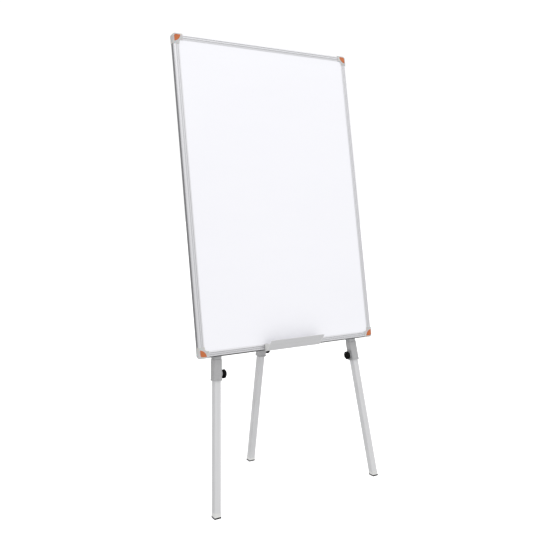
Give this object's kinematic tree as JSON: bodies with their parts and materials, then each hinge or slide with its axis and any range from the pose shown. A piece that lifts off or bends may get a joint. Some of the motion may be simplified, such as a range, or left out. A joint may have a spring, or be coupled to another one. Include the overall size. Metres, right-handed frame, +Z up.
{
  "type": "flipchart easel",
  "caption": "White writing board in a ridged metal frame, leaning on telescopic tripod legs with clamp knobs; sliding pen tray on the bottom rail and a folding rear leg.",
  "frame": {"origin": "on the floor, under the middle of the easel's bounding box, with the legs set and the rear leg open", "axes": "+Z up; +X to the right of a person facing the writing surface; +Y from that person towards the rear leg"},
  "size_m": [0.601, 0.3108, 1.3079],
  "materials": {
    "white_enamel": "gloss",
    "honeycomb_core": "matte",
    "back_sheet_metal": "satin",
    "frame_aluminium": "satin",
    "corner_plastic": "satin",
    "orange_plastic": "satin",
    "zinc_steel": "satin",
    "grey_paint": "satin",
    "silver_paint": "satin",
    "grey_plastic": "satin",
    "white_nylon": "satin",
    "black_rubber": "matte",
    "black_plastic": "satin",
    "tray_aluminium": "satin"
  },
  "bodies": {
    "board": {"back_sheet": "back_sheet_metal", "board_core": "honeycomb_core", "clamp_nut_left": "zinc_steel", "clamp_nut_right": "zinc_steel", "corner_bottom_left": "corner_plastic", "corner_bottom_right": "corner_plastic", "corner_cap_bottom_left": "orange_plastic", "corner_cap_bottom_right": "orange_plastic", "corner_cap_top_left": "orange_plastic", "corner_cap_top_right": "orange_plastic", "corner_screws": "zinc_steel", "corner_top_left": "corner_plastic", "corner_top_right": "corner_plastic", "crossbar": "grey_paint", "crossbar_cap_left": "grey_plastic", "crossbar_cap_right": "grey_plastic", "crossbar_strap_left": "zinc_steel", "crossbar_strap_right": "zinc_steel", "fixing_screws": "zinc_steel", "frame_bottom": "frame_aluminium", "frame_left": "frame_aluminium", "frame_right": "frame_aluminium", "frame_top": "frame_aluminium", "hinge_bracket": "zinc_steel", "hinge_rivet": "zinc_steel", "leg_bolts": "zinc_steel", "leg_head_left": "grey_plastic", "leg_head_right": "grey_plastic", "leg_saddle_left": "grey_plastic", "leg_saddle_right": "grey_plastic", "outer_tube_left": "grey_paint", "outer_tube_right": "grey_paint", "sleeve_left": "grey_plastic", "sleeve_right": "grey_plastic", "writing_surface": "white_enamel"},
    "left_extension": {"foot_left": "white_nylon", "guide_bush_left": "white_nylon", "inner_tube_left": "silver_paint", "pad_left": "black_rubber"},
    "right_extension": {"foot_right": "white_nylon", "guide_bush_right": "white_nylon", "inner_tube_right": "silver_paint", "pad_right": "black_rubber"},
    "rear_leg": {"clamp_nut_rear": "zinc_steel", "outer_tube_rear": "grey_paint", "rear_knuckle": "grey_plastic", "sleeve_rear": "grey_plastic"},
    "rear_extension": {"foot_rear": "white_nylon", "guide_bush_rear": "white_nylon", "inner_tube_rear": "silver_paint", "pad_rear": "black_rubber"},
    "left_knob": {"knob_left": "black_plastic", "knob_screw_left": "zinc_steel"},
    "right_knob": {"knob_right": "black_plastic", "knob_screw_right": "zinc_steel"},
    "rear_knob": {"knob_rear": "black_plastic", "knob_screw_rear": "zinc_steel"},
    "tray": {"pen_tray": "tray_aluminium", "tray_end_left": "corner_plastic", "tray_end_right": "corner_plastic"}
  },
  "joints": [
    {"name": "left_leg_slide", "type": "slide", "parent": "board", "child": "left_extension", "axis": [-0.0941, -0.1985, -0.9756], "range_m": [-0.255, 0.045]},
    {"name": "left_knob_turn", "type": "hinge", "parent": "board", "child": "left_knob", "pos_m": [-0.21918, -0.06952, 0.37097], "axis": [0.9956, -0.0188, -0.0922], "range_deg": [0, 540]},
    {"name": "right_leg_slide", "type": "slide", "parent": "board", "child": "right_extension", "axis": [0.0941, -0.1985, -0.9756], "range_m": [-0.255, 0.045]},
    {"name": "right_knob_turn", "type": "hinge", "parent": "board", "child": "right_knob", "pos_m": [0.21918, -0.06952, 0.37097], "axis": [-0.9956, -0.0188, -0.0922], "range_deg": [0, 540]},
    {"name": "rear_leg_slide", "type": "slide", "parent": "rear_leg", "child": "rear_extension", "axis": [0, 0.1459, -0.9893], "range_m": [-0.255, 0.045]},
    {"name": "rear_knob_turn", "type": "hinge", "parent": "rear_leg", "child": "rear_knob", "pos_m": [0.02, 0.08936, 0.37806], "axis": [1, 0, 0], "range_deg": [0, 540]},
    {"name": "rear_leg_fold", "type": "hinge", "parent": "board", "child": "rear_leg", "pos_m": [0, 0.03478, 0.74821], "axis": [-1, 0, 0], "range_deg": [0, 19.89]},
    {"name": "tray_slide", "type": "slide", "parent": "board", "child": "tray", "axis": [1, 0, 0], "range_m": [-0.175, 0.175]}
  ]
}
